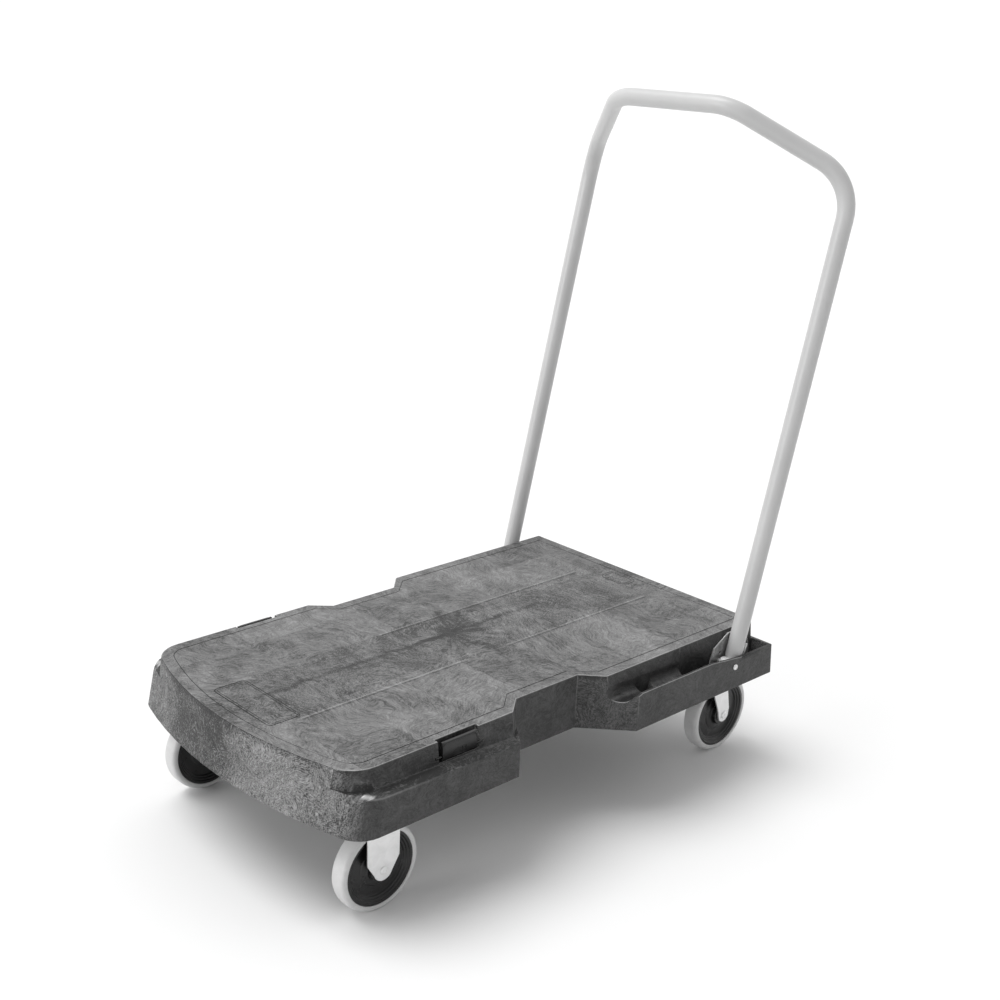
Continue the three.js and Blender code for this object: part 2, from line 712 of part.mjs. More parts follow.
for (const [sideName, side] of SIDES) {
  addMesh(`handle_lug_${sideName}`, makeHandleLug(), zincSteel(), side);
  addMesh(`pivot_bracket_${sideName}`, makeBracket(), zincSteel(), side);
  addMesh(`pivot_bolt_${sideName}`, makePivotBolt(), zincSteel(), side);
  addMesh(`pivot_nut_${sideName}`, makePivotNut(), zincSteel(), side);
  addMesh(`latch_clip_${sideName}`, makeLatchClip(), clipPlastic(), side);
  addMesh(`latch_pin_${sideName}`, makeLatchPin(), zincSteel(), side);
  addMesh(`front_fork_${sideName}`, makeFrontFork(), zincSteel(), side);
  addWheel('front', frontAxleY, sideName, side);
  addScrews('front', frontAxleY, sideName, side);
  const mountPlate = makeMountPlate(kingpinY, kingpin.radius + GAP);
  addMesh(`rear_mount_plate_${sideName}`, mountPlate, zincSteel(), side);
  addMesh(`rear_ball_race_${sideName}`, makeRace(), zincSteel(), side);
  addMesh(`rear_swivel_fork_${sideName}`, makeSwivelFork(), zincSteel(), side);
  addMesh(`rear_kingpin_${sideName}`, makeKingpin(), zincSteel(), side);
  addWheel('rear', rearAxleY, sideName, side);
  addScrews('rear', kingpinY, sideName, side);
}

const extent = new THREE.Box3().setFromObject(dolly);
dolly.position.y = -(extent.min.y + extent.max.y) / 2;

export default dolly;
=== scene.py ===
"""The finished look of the furniture dolly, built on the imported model. Metres, +Z up."""

import math

import bmesh
import bpy
from mathutils import Matrix, Vector
from mathutils.bvhtree import BVHTree


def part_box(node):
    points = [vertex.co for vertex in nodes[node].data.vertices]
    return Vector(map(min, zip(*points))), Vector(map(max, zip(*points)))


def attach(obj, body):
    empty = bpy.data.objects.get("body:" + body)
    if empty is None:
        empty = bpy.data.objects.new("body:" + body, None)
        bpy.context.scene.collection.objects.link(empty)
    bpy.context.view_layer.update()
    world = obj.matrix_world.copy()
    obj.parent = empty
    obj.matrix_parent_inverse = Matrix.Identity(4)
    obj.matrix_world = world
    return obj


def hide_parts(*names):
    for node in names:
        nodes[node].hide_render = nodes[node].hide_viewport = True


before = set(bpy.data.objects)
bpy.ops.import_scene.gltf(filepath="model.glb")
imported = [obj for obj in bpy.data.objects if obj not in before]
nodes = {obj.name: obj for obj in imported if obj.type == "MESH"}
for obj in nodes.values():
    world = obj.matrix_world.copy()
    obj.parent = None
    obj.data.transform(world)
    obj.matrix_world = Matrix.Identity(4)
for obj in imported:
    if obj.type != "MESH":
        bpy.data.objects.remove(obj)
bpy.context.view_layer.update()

# Named sizes are millimetres of the drawing, unless a comment says otherwise.
MM = 0.001
SIDES = (("right", 1), ("left", -1))
DECK_TOP = 225.5
DECK_REAR, TOP_REAR = 424.5, 405.5
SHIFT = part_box("deck")[1].y - DECK_REAR * MM  # the drawing's Y = 0 in the frame's own Y


def at(x, y, z):
    """A point of the drawing, in millimetres, as a point of the frame."""
    return Vector((x * MM, y * MM + SHIFT, z * MM))


# ---------------------------------------------------------------- shader graphs


class Graph:
    """A material and a short way to add and join its shader nodes."""

    def __init__(self, name, roughness, metallic=0.0):
        self.material = bpy.data.materials.new(name)
        self.material.use_nodes = True
        self.tree = self.material.node_tree
        self.shader = self.tree.nodes["Principled BSDF"]
        self.set("Roughness", roughness)
        self.set("Metallic", metallic)
        self.place = self.node("ShaderNodeTexCoord").outputs["Object"]

    def set(self, name, value):
        """Gives one input of the shader a value, or the output of another node."""
        self.feed(self.shader.inputs[name], value)

    def feed(self, socket, value):
        if isinstance(value, bpy.types.NodeSocket):
            self.tree.links.new(value, socket)
        else:
            socket.default_value = value

    def node(self, kind, inputs=(), **settings):
        node = self.tree.nodes.new(kind)
        for key, value in settings.items():
            setattr(node, key, value)
        for key, value in dict(inputs).items():
            self.feed(node.inputs[key], value)
        return node

    def math(self, operation, *values):
        return self.node("ShaderNodeMath", enumerate(values), operation=operation).outputs[0]

    def add(self, first, second):
        return self.math("ADD", first, second)

    def minus(self, first, second):
        return self.math("SUBTRACT", first, second)

    def times(self, first, second):
        return self.math("MULTIPLY", first, second)

    def size(self, value):
        return self.math("ABSOLUTE", value)

    def vector(self, operation, *values):
        return self.node("ShaderNodeVectorMath", enumerate(values), operation=operation).outputs[0]

    def parts(self, place):
        """The X, Y and Z of a vector."""
        outputs = self.node("ShaderNodeSeparateXYZ", {"Vector": place}).outputs
        return outputs[0], outputs[1], outputs[2]

    def stretched(self, place, scale, turn=0.0):
        """The place scaled along each axis, after a turn about Z in degrees."""
        inputs = {"Vector": place, "Scale": scale, "Rotation": (0, 0, math.radians(turn))}
        return self.node("ShaderNodeMapping", inputs).outputs[0]

    def noise(self, place, scale, detail=4.0, roughness=0.55, distortion=0.0, colour=False):
        """A cloudy pattern round 0.5. With colour it is a vector of three such patterns."""
        inputs = {"Vector": place, "Scale": scale, "Detail": detail,
                  "Roughness": roughness, "Distortion": distortion}
        return self.node("ShaderNodeTexNoise", inputs).outputs[int(colour)]

    def span(self, value, low, high, to_low=0.0, to_high=1.0, **settings):
        """value carried from the range low..high to the range to_low..to_high."""
        inputs = {"Value": value, "From Min": low, "From Max": high,
                  "To Min": to_low, "To Max": to_high}
        return self.node("ShaderNodeMapRange", inputs, **settings).outputs[0]

    def line(self, value, middle, half_width):
        """1 at value = middle, falling smoothly to 0 at half_width away."""
        away = self.size(self.minus(value, middle))
        return self.span(away, 0.0, half_width, 1.0, 0.0, interpolation_type="SMOOTHSTEP")

    def inside(self, value, low, high):
        """1 where value is between low and high, 0 elsewhere."""
        above, below = self.math("GREATER_THAN", value, low), self.math("LESS_THAN", value, high)
        return self.times(above, below)

    def blend(self, share, first, second):
        """first where share is 0, second where it is 1."""
        rest = self.minus(1.0, share)
        return self.add(self.times(rest, first), self.times(share, second))

    def grey(self, value):
        """Makes a number the base colour, as a neutral grey."""
        inputs = {"Red": value, "Green": value, "Blue": value}
        self.set("Base Color", self.node("ShaderNodeCombineColor", inputs).outputs[0])

    def bump(self, height, distance, strength=1.0):
        inputs = {"Height": height, "Distance": distance, "Strength": strength}
        self.set("Normal", self.node("ShaderNodeBump", inputs).outputs[0])


# ---------------------------------------------------------------- the deck's plastic

TOP_LEVEL, SHADED_SIDE_LEVEL, LEAST_LEVEL = 0.130, 0.041, 0.015  # greys; the sides' far darker grey is painted shade
CREST = "crest"  # an attribute: 1 along the middle of a rounded edge, where the painted edge highlight goes

RIB_PITCH = Vector((103.5, 100.0, 1000.0)) * MM
RIB_CROSSING = at(-51.75, 50, 0)
RIB_LINE = 0.03  # half a rib's width, as a share of the pitch
STRIP = (-72, 67)  # the rougher strip along the middle of the top, from X to X
GATE = at(-15, 7, DECK_TOP)  # where the plastic entered the mould
FLOW_LINE, FLOW_WIDTH, FLOW_WANDER = (-15, -345, 190), 8.0, 14  # X, first Y and last Y
KNIT_LINES = ((-72, -84, 331), (67, 41, 343), (68, -330, -40))
KNIT_WIDTH, KNIT_SHADE_WIDTH, KNIT_SHADE_STEP = 2.6, 3.2, 4.0
LEDGE_SLOPE = math.radians(1.5)
LEDGE_LEVEL = at(0, 0, 198.9).z + at(0, -392, 0).y * math.tan(LEDGE_SLOPE)
# Where the painted highlight on the ledge's lip falls:
LIP_FADE, LIP_MIDDLE, LIP_WIDTH, LIP_X = (-345, -235), -2.0, 2.6, 232
# Heights of the painted shade on the nose's rim and in the grooves:
RIM_LEVELS = (215, 223)
GROOVE_LEVELS = (DECK_TOP - 0.45, DECK_TOP - 0.15)

SWIRL, TILE_TURN = 0.12, 3.1  # in metres and radians
STREAKS, DRIFT, BLOTCHES, GRAIN, CONTOURS, HAIRLINES = 2.7, 1.5, 2.1, 2.2, 0.13, 0.26
STRIP_GRAIN, NOSE_GRAIN = 0.7, 1.9
TILES, RIBS, STRIP_DARK, STAR_DARK, FLOW_DARK = 0.46, 0.12, 0.2, 0.8, 0.55
KNIT_BRIGHT, KNIT_DARK = 0.6, 0.5
# Painted highlight along rounded edges, and painted shade along the nose's edge:
EDGE_BRIGHT, NOSE_EDGE_DARK = 2.2, -0.6
# Painted shade in the grooves and on the nose's rim, and a painted highlight on the ledge's lip:
GROOVE_DARK, RIM_DARK, LIP_BRIGHT = 0.95, 0.5, 2.8


class DeckGraph(Graph):
    """The deck's material, with the places and directions that its marks are drawn from."""

    def __init__(self):
        super().__init__("deck_plastic", 0.5)
        self.set("Specular IOR Level", 0.4)
        self.x, self.y, self.z = self.parts(self.place)
        facing = self.node("ShaderNodeNewGeometry").outputs["Normal"]
        self.facing_x, self.facing_y, self.facing_z = self.parts(facing)
        self.on_top = self.span(self.facing_z, 0.8, 0.95)
        self.on_nose = self.span(self.facing_y, -0.5, -0.8)
        strip = self.inside(self.x, STRIP[0] * MM, STRIP[1] * MM)
        self.on_strip = self.times(self.on_top, strip)


def moulded_cells(graph):
    """A random number for each cell between the ribs, and 1 along each rib."""
    corner = graph.vector("SUBTRACT", graph.place, tuple(RIB_CROSSING))
    cell_place = graph.vector("DIVIDE", corner, tuple(RIB_PITCH))
    cell = graph.vector("FLOOR", cell_place)
    tile = graph.node("ShaderNodeTexWhiteNoise", {"Vector": cell}).outputs["Value"]
    part_x, part_y, _ = graph.parts(graph.vector("FRACTION", cell_place))
    lines = [graph.line(part, 0.0, RIB_LINE) for part in (part_x, part_y)]
    return tile, graph.math("MAXIMUM", *lines)


def swirled_place(graph):
    """The place pushed about by a slow pattern, which bends whatever is drawn on it."""
    warp = graph.noise(graph.place, 7.0, detail=3.0, colour=True)
    push = graph.vector("SCALE", graph.vector("SUBTRACT", warp, (0.5, 0.5, 0.5)))
    graph.feed(push.node.inputs["Scale"], SWIRL)
    return graph.vector("ADD", graph.place, push)


def foam_patterns(graph, tile):
    """The swirls and grain of moulded foam: their whole tone, the streaks and the grain."""
    swirled = swirled_place(graph)
    angle = graph.times(graph.times(tile, TILE_TURN), graph.on_top)
    turned_tile = graph.node(
        "ShaderNodeVectorRotate", {"Vector": swirled, "Angle": angle}, rotation_type="Z_AXIS",
    ).outputs[0]
    streaks = graph.noise(graph.stretched(turned_tile, (330, 34, 120)), 1.0, 5.0, 0.6, 0.5)
    drift = graph.noise(graph.stretched(swirled, (26, 120, 60), 28), 1.0, 6.0, 0.62, 0.8)
    blotches = graph.noise(swirled, 15.0, 6.0, 0.62, 0.5)
    grain = graph.noise(graph.stretched(swirled, (520, 380, 480), 40), 1.0, 3.0, 0.72)
    hair_field = graph.noise(graph.stretched(turned_tile, (190, 24, 90)), 1.0, 2.0, 0.5, 0.9)
    hairlines = graph.line(hair_field, 0.5, 0.035)
    contour_field = graph.noise(graph.place, 7.5, 3.0, 0.5, 1.2)
    patches = graph.span(graph.noise(graph.place, 13.0, 2.0), 0.45, 0.6)
    contours = graph.times(graph.math("SINE", graph.times(contour_field, 230.0)), patches)

    rough_here = graph.add(
        graph.times(graph.on_strip, STRIP_GRAIN), graph.times(graph.on_nose, NOSE_GRAIN)
    )
    grain_gain = graph.add(rough_here, 1.0)
    tone = graph.times(contours, CONTOURS)
    tone = graph.minus(tone, graph.times(hairlines, HAIRLINES))
    for pattern, strength in (
        (streaks, STREAKS), (drift, DRIFT), (blotches, BLOTCHES),
        (grain, graph.times(grain_gain, GRAIN)),
    ):
        tone = graph.add(tone, graph.times(graph.minus(pattern, 0.5), strength))
    return tone, streaks, graph.times(grain, grain_gain)


def flow_star(graph):
    """The dark mark under the mould's gate, with rays that spread from it."""
    mark_x, mark_y, _ = graph.parts(graph.vector("SUBTRACT", graph.place, tuple(GATE)))
    angle = graph.math("ARCTAN2", mark_y, mark_x)
    away = graph.math("SQRT", graph.add(graph.times(mark_x, mark_x), graph.times(mark_y, mark_y)))
    turn = graph.node("ShaderNodeCombineXYZ", {
        "X": graph.math("COSINE", angle), "Y": graph.math("SINE", angle),
        "Z": graph.times(away, 4.0),
    })
    rays = graph.noise(turn.outputs[0], 3.4, detail=3.0, roughness=0.6)
    dark_rays = graph.span(rays, 0.52, 0.64)
    core = graph.span(away, 8 * MM, 34 * MM, 1.0, 0.0)
    reach = graph.span(away, 20 * MM, 130 * MM, 1.0, 0.0)
    return graph.math("MAXIMUM", core, graph.times(dark_rays, reach))


def line_along(graph, x, line, half_width):
    """1 on a line that runs along Y at one X, from one Y to another."""
    middle, low, high = line
    start, end = at(middle, low, 0), at(middle, high, 0)
    return graph.times(
        graph.line(x, start.x, half_width * MM), graph.inside(graph.y, start.y, end.y)
    )


def top_marks(graph, tile, ribs):
    """What shows on the flat top only: cells, ribs, strip, gate, flow line and knit lines."""
    marks = graph.times(graph.minus(tile, 0.5), TILES)
    wander = graph.noise(graph.stretched(graph.place, (0, 22, 0)), 1.0, detail=3.0)
    wander = graph.span(wander, 0.0, 1.0, -FLOW_WANDER * MM, FLOW_WANDER * MM)
    flow_line = line_along(graph, graph.add(graph.x, wander), FLOW_LINE, FLOW_WIDTH)
    for mark, strength in (
        (ribs, RIBS), (graph.on_strip, STRIP_DARK), (flow_star(graph), STAR_DARK),
        (flow_line, FLOW_DARK),
    ):
        marks = graph.minus(marks, graph.times(mark, strength))
    for middle, low, high in KNIT_LINES:
        bright = line_along(graph, graph.x, (middle, low, high), KNIT_WIDTH)
        shade_x = middle + KNIT_SHADE_STEP
        dark = line_along(graph, graph.x, (shade_x, low, high), KNIT_SHADE_WIDTH)
        marks = graph.add(marks, graph.times(bright, KNIT_BRIGHT))
        marks = graph.minus(marks, graph.times(dark, KNIT_DARK))
    return graph.times(marks, graph.on_top)


def edge_sheen(graph):
    """A painted highlight along the rounded edges, and instead a dark line of painted shade along
    the edge of the nose.
    """
    crest = graph.node("ShaderNodeAttribute", attribute_name=CREST).outputs["Fac"]
    nose_edge = graph.times(
        graph.span(graph.facing_y, -0.25, -0.45),
        graph.span(graph.size(graph.facing_x), 0.45, 0.25),
    )
    return graph.times(crest, graph.span(nose_edge, 0.0, 1.0, EDGE_BRIGHT, NOSE_EDGE_DARK))


def nose_shading(graph):
    """A broad patch of painted light toward the nose's right and a broad one of painted shade left
    of its middle.
    """
    light = graph.times(graph.line(graph.x, 120 * MM, 110 * MM), 0.45)
    dark = graph.times(graph.line(graph.x, -55 * MM, 130 * MM), 0.8)
    return graph.times(graph.on_nose, graph.minus(light, dark))


def groove_and_rim(graph):
    """How much darker painted shade makes the grooves in the top, and the rim above the nose."""
    low, high = GROOVE_LEVELS
    groove = graph.span(graph.z, low * MM, high * MM, GROOVE_DARK, 0.0)
    low, high = RIM_LEVELS
    rim = graph.times(
        graph.span(graph.z, low * MM, high * MM, 0.0, RIM_DARK),
        graph.times(graph.span(graph.facing_y, -0.3, -0.5), graph.span(graph.facing_z, 0.9, 0.7)),
    )
    return graph.add(graph.times(groove, graph.on_top), rim)


def lip_sheen(graph):
    """A painted highlight on the lip of the ledge behind each corner of the nose."""
    rise = graph.times(graph.y, math.tan(LEDGE_SLOPE))
    above_ledge = graph.minus(graph.add(graph.z, rise), LEDGE_LEVEL)
    lip = graph.line(above_ledge, LIP_MIDDLE * MM, LIP_WIDTH * MM)
    full, gone = (at(0, y, 0).y for y in LIP_FADE)
    near_nose = graph.span(graph.y, full, gone, 1.0, 0.0)
    outside = graph.math("GREATER_THAN", graph.size(graph.x), LIP_X * MM)
    return graph.times(graph.times(lip, graph.times(near_nose, outside)), LIP_BRIGHT)


def make_deck_plastic():
    """Grey moulded foam: swirled flow streaks, a grain, and the sinks over the ribs, with painted
    highlights and painted shade.
    """
    graph = DeckGraph()
    tile, ribs = moulded_cells(graph)
    tone, streaks, grain = foam_patterns(graph, tile)
    tone = graph.add(tone, top_marks(graph, tile, ribs))
    tone = graph.add(tone, edge_sheen(graph))
    tone = graph.add(tone, nose_shading(graph))
    tone = graph.minus(tone, groove_and_rim(graph))
    tone = graph.add(tone, lip_sheen(graph))

    # The sides take a far darker grey than the top: painted shade.
    on_side = graph.span(graph.size(graph.facing_x), 0.35, 0.8)
    base = graph.span(on_side, 0.0, 1.0, TOP_LEVEL, SHADED_SIDE_LEVEL)
    level = graph.times(graph.add(tone, 1.0), base)
    graph.grey(graph.math("MAXIMUM", level, LEAST_LEVEL))
    graph.set("Roughness", graph.span(streaks, 0.3, 0.7, 0.42, 0.64))
    height = graph.minus(graph.add(grain, streaks), graph.times(ribs, 0.25))
    graph.bump(height, 0.4 * MM, 0.8)
    return graph.material


# ---------------------------------------------------------------- the other materials


def make_paint():
    """Light grey powder coat with a faint orange-peel surface."""
    graph = Graph("handle_paint", 0.38)
    tone = graph.noise(graph.place, 9.0, 3.0)
    graph.grey(graph.span(tone, 0.3, 0.7, 0.46, 0.51))
    graph.set("Coat Weight", 0.15)
    graph.set("Coat Roughness", 0.2)
    graph.set("Roughness", graph.span(tone, 0.3, 0.7, 0.34, 0.42))
    graph.bump(graph.noise(graph.place, 900.0, 2.0), 0.05 * MM, 0.35)
    return graph.material


def make_zinc():
    """Bright zinc plate: slightly cloudy, with fine rolling marks."""
    graph = Graph("zinc_steel", 0.36, 0.45)
    cloud = graph.noise(graph.place, 60.0, 4.0, 0.6, 0.6)
    marks = graph.noise(graph.stretched(graph.place, (900, 900, 60)), 1.0, 2.0)
    graph.grey(graph.span(cloud, 0.3, 0.7, 0.82, 0.93))
    graph.set("Roughness", graph.span(graph.add(cloud, marks), 0.7, 1.3, 0.3, 0.46))
    graph.bump(marks, 0.03 * MM, 0.4)
    return graph.material


def make_dull_zinc():
    """Zinc plate on the pivot brackets and lugs: dull and cloudy, with a painted highlight on its
    cut edges.
    """
    graph = Graph("dull_zinc", 0.4, 0.85)
    cloud = graph.noise(graph.place, 90.0, 5.0, 0.65, 0.9)
    facing = graph.node("ShaderNodeNewGeometry").outputs["Normal"]
    on_face = graph.span(graph.size(graph.parts(facing)[0]), 0.8, 0.95)
    # Faces across X take the cloudy grey; every other face, the cut edges, is near-white as a
    # painted highlight.
    graph.grey(graph.blend(on_face, 0.9, graph.span(cloud, 0.35, 0.65, 0.34, 0.62)))
    graph.set("Metallic", graph.span(on_face, 0.0, 1.0, 0.35, 0.75))
    graph.set("Roughness", graph.span(cloud, 0.3, 0.7, 0.28, 0.5))
    graph.bump(graph.noise(graph.place, 500.0, 2.0), 0.04 * MM, 0.5)
    return graph.material


def make_rubber():
    """Pale grey tread, a little scuffed and dusty."""
    graph = Graph("grey_rubber", 0.5)
    scuff = graph.noise(graph.place, 45.0, 6.0, 0.65, 0.8)
    speck = graph.noise(graph.place, 600.0, 2.0)
    tone = graph.add(scuff, graph.times(speck, 0.25))
    graph.grey(graph.span(tone, 0.4, 0.85, 0.54, 0.64))
    graph.set("Roughness", graph.span(scuff, 0.3, 0.7, 0.42, 0.6))
    graph.bump(speck, 0.04 * MM, 0.5)
    return graph.material


def make_black(name, level, roughness):
    """Near-black moulded plastic or coated steel with faint handling marks."""
    graph = Graph(name, roughness)
    haze = graph.noise(graph.place, 70.0, 5.0, 0.6, 0.7)
    speck = graph.noise(graph.place, 800.0, 2.0)
    graph.grey(graph.span(haze, 0.3, 0.7, level * 0.8, level * 1.3))
    graph.set("Roughness", graph.span(haze, 0.3, 0.7, roughness - 0.06, roughness + 0.1))
    graph.bump(speck, 0.04 * MM, 0.4)
    return graph.material


def make_turned_steel():
    """Steel with fine turning marks round its axle."""
    graph = Graph("bush_steel", 0.35, 0.9)
    marks = graph.noise(graph.stretched(graph.place, (2500, 120, 120)), 1.0, 2.0)
    graph.grey(graph.span(marks, 0.3, 0.7, 0.45, 0.62))
    graph.bump(marks, 0.04 * MM, 0.6)
    return graph.material


MATERIALS = {
    "deck_plastic": make_deck_plastic(),
    "handle_paint": make_paint(),
    "zinc_steel": make_zinc(),
    "grey_rubber": make_rubber(),
    "hub_plastic": make_black("hub_plastic", 0.008, 0.3),
    "clip_plastic": make_black("clip_plastic", 0.010, 0.36),
    "bush_steel": make_turned_steel(),
}
BRACKET_STEEL = make_dull_zinc()
BLACK_STEEL = make_black("black_steel", 0.012, 0.24)


# ---------------------------------------------------------------- pieces


SMOOTH_ANGLE = math.radians(32)


def add_piece(name, mesh, body, slot, replaced, material=None):
    """Puts a finished mesh in the scene, on its body and in its slot's or its own material."""
    piece = bpy.data.objects.new(name, mesh)
    bpy.context.scene.collection.objects.link(piece)
    mesh.materials.clear()
    mesh.materials.append(material or MATERIALS[slot])
    mesh.shade_smooth()
    mesh.set_sharp_from_angle(angle=SMOOTH_ANGLE)
    smoothing = piece.modifiers.new("smoothing", "WEIGHTED_NORMAL")
    smoothing.keep_sharp = True
    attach(piece, body)
    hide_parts(*replaced)


def mesh_of(name, points, faces):
    """A mesh of points and faces, with every face turned outwards."""
    mesh = bpy.data.meshes.new(name)
    mesh.from_pydata([tuple(point) for point in points], [], faces)
    work = bmesh.new()
    work.from_mesh(mesh)
    bmesh.ops.recalc_face_normals(work, faces=work.faces)
    work.to_mesh(mesh)
    work.free()
    return mesh


def tree_of(node_name):
    """A search tree of a CAD node's faces."""
    work = bmesh.new()
    work.from_mesh(nodes[node_name].data)
    tree = BVHTree.FromBMesh(work)
    work.free()
    return tree


WELD = 0.02 * MM  # in metres
FLATNESS = math.radians(0.7)
SHARP, SHARP_ON_SHELL = 28, 24  # degrees


def welded_copy(node_name, reach=WELD):
    """The CAD node's mesh with shared corners and with each flat face in one piece."""
    work = bmesh.new()
    work.from_mesh(nodes[node_name].data)
    bmesh.ops.remove_doubles(work, verts=work.verts, dist=reach)
    bmesh.ops.dissolve_limit(work, angle_limit=FLATNESS, verts=work.verts, edges=work.edges)
    return work


def round_edges(work, width, segments, chosen, clamp=True):
    """Rounds the edges that chosen(edge) picks, and marks the middle of each rounding."""
    crest = work.verts.layers.float.new(CREST)
    edges = [edge for edge in work.edges if edge.is_manifold and chosen(edge)]
    made = bmesh.ops.bevel(
        work, geom=edges, offset=width, segments=segments, profile=0.5, affect="EDGES",
        clamp_overlap=clamp, offset_type="OFFSET",
    )
    rounded = set(made["faces"])
    for vert in made["verts"]:
        vert[crest] = float(all(face in rounded for face in vert.link_faces))
    bmesh.ops.remove_doubles(work, verts=work.verts, dist=WELD / 4)


def is_sharp(edge, angle=SHARP):
    return edge.calc_face_angle() > math.radians(angle)


def mesh_from(work, name):
    """Turns finished work into a mesh."""
    mesh = bpy.data.meshes.new(name)
    work.to_mesh(mesh)
    work.free()
    return mesh


def soften(node_name, body, width, material=None):
    """Stands for a steel CAD node with the same piece, its edges rounded."""
    work = welded_copy(node_name)
    round_edges(work, width * MM, 2, is_sharp)
    name = node_name + "_soft"
    add_piece(name, mesh_from(work, name), body, "zinc_steel", [node_name], material)


ON_AXIS = 1e-6
AXES = {  # the axis, and two directions across it
    "x": (Vector((1, 0, 0)), Vector((0, 1, 0)), Vector((0, 0, 1))),
    "y": (Vector((0, 1, 0)), Vector((0, 0, 1)), Vector((1, 0, 0))),
}


def rounded_profile(corners, steps=3):
    """A profile of (radius, along, rounding) corners with each corner rounded off."""
    points = []
    count = len(corners)
    for i, (radius, along, rounding) in enumerate(corners):
        here = Vector((radius, along))
        if rounding == 0:
            points.append(here)
            continue
        before = Vector(corners[i - 1][:2]) - here
        after = Vector(corners[(i + 1) % count][:2]) - here
        reach = min(rounding, before.length * 0.49, after.length * 0.49)
        start = here + before.normalized() * reach
        end = here + after.normalized() * reach
        for step in range(steps + 1):
            t = step / steps
            points.append(start * (1 - t) ** 2 + here * (2 * t * (1 - t)) + end * t * t)
    return points


def turned_mesh(name, corners, centre, axis, loop, segments):
    """A round mesh turned about X or Y from a profile, which loop closes into a ring."""
    line, first, second = AXES[axis]
    points, rings = [], []
    for radius, along in rounded_profile(corners):
        middle = centre + line * (along * MM)
        if radius < ON_AXIS:
            rings.append([len(points)] * segments)
            points.append(middle)
            continue
        rings.append(list(range(len(points), len(points) + segments)))
        for i in range(segments):
            angle = 2 * math.pi * i / segments
            spoke = first * math.cos(angle) + second * math.sin(angle)
            points.append(middle + spoke * (radius * MM))
    faces = []
    pairs = list(zip(rings, rings[1:]))
    if loop:
        pairs.append((rings[-1], rings[0]))
    for low, high in pairs:
        for i in range(segments):
            k = (i + 1) % segments
            face = [low[i], low[k], high[k], high[i]]
            face = [index for n, index in enumerate(face) if index not in face[:n]]
            if len(face) > 2:
                faces.append(face)
    return mesh_of(name, points, faces)


def turned(node_name, corners, centre, body, slot, segments, axis="x", loop=False, material=None):
    """Stands for a CAD node with a finer round piece turned from a profile."""
    name = node_name + "_fine"
    mesh = turned_mesh(name, corners, centre, axis, loop, segments)
    add_piece(name, mesh, body, slot, [node_name], material)


# ---------------------------------------------------------------- deck


NOSE_TIP, NOSE_RADIUS, CORNER_RADIUS = -408.5, 600, 46
FRONT_HALF, WAIST_HALF, REAR_HALF = 225, 200, 229  # half widths of the top
WAIST_CORNERS = (-100, -70, 46, 78)


def top_outline(inset, arc_steps=14, corner_steps=8):
    """The outline of the deck's flat top, moved in by inset."""
    nose_radius, corner_radius = NOSE_RADIUS - inset, CORNER_RADIUS - inset
    side, waist, rear_side = FRONT_HALF - inset, WAIST_HALF - inset, REAR_HALF - inset
    nose_middle = NOSE_TIP + NOSE_RADIUS
    corner_x = side - corner_radius
    corner_y = nose_middle - math.sqrt((nose_radius - corner_radius) ** 2 - corner_x ** 2)
    meeting = math.atan2(corner_x, nose_middle - corner_y)
    half = []
    for i in range(arc_steps):
        angle = meeting * i / arc_steps
        half.append((nose_radius * math.sin(angle), nose_middle - nose_radius * math.cos(angle)))
    for i in range(corner_steps + 1):
        angle = meeting + (math.pi / 2 - meeting) * i / corner_steps
        half.append((
            corner_x + corner_radius * math.sin(angle),
            corner_y - corner_radius * math.cos(angle),
        ))
    half += zip((side, waist, waist, rear_side), WAIST_CORNERS)
    half.append((rear_side, TOP_REAR - inset))
    return half + [(-x, y) for x, y in reversed(half[1:])]


def rounded_rectangle(low, high, radius, inset, steps=4):
    """A rectangle with rounded corners, moved in by inset."""
    centres = (
        (high[0] - radius, high[1] - radius, 0), (low[0] + radius, high[1] - radius, 90),
        (low[0] + radius, low[1] + radius, 180), (high[0] - radius, low[1] + radius, 270),
    )
    points = []
    for x, y, start in centres:
        for i in range(steps + 1):
            angle = math.radians(start + 90 * i / steps)
            reach = radius - inset
            points.append((x + reach * math.cos(angle), y + reach * math.sin(angle)))
    return points


GROOVE_DEPTH = 0.6
BORDER_INSET, BORDER_END = 17.0, 18.3
PLATE = ((-70, -375), (62, -322), 7)  # low corner, high corner, corner radius
BADGE = ((-36, 350), (18, 384), 12)
OUTLINES = ((PLATE, 0.0, 1.6), (PLATE, 4.0, 0.9), (BADGE, 0.0, 1.4), (BADGE, 5.0, 1.0))


def add_groove(points, faces, outer, inner):
    """Adds the closed ring between two outlines to the list of cutters."""
    first, count = len(points), len(outer)
    for outline in (outer, inner):
        for z in (DECK_TOP - GROOVE_DEPTH, DECK_TOP + 1):
            points += [at(x, y, z) for x, y in outline]
    for i in range(count):
        k = (i + 1) % count
        outer_low, outer_high, inner_low, inner_high = (first + count * n for n in range(4))
        faces.append((outer_low + i, outer_low + k, outer_high + k, outer_high + i))
        faces.append((inner_low + k, inner_low + i, inner_high + i, inner_high + k))
        faces.append((outer_high + i, outer_high + k, inner_high + k, inner_high + i))
        faces.append((inner_low + i, inner_low + k, outer_low + k, outer_low + i))


def make_groove_cutters():
    """The border line round the top, the outline of a blank plate and a blank badge."""
    points, faces = [], []
    add_groove(points, faces, top_outline(BORDER_INSET), top_outline(BORDER_END))
    for (low, high, radius), inset, width in OUTLINES:
        add_groove(
            points, faces, rounded_rectangle(low, high, radius, inset),
            rounded_rectangle(low, high, radius, inset + width),
        )
    mesh = mesh_of("groove_cutters", points, faces)
    cutters = bpy.data.objects.new("groove_cutters", mesh)
    bpy.context.scene.collection.objects.link(cutters)
    return cutters


SHELL_TREE = tree_of("deck")
SHELL_ROUNDING, LEAST_LENGTH, LEAST_NEIGHBOUR, SHELL_BOTTOM = 1.3, 4.5, 3.2, 144
FACES_DOWN = -0.3


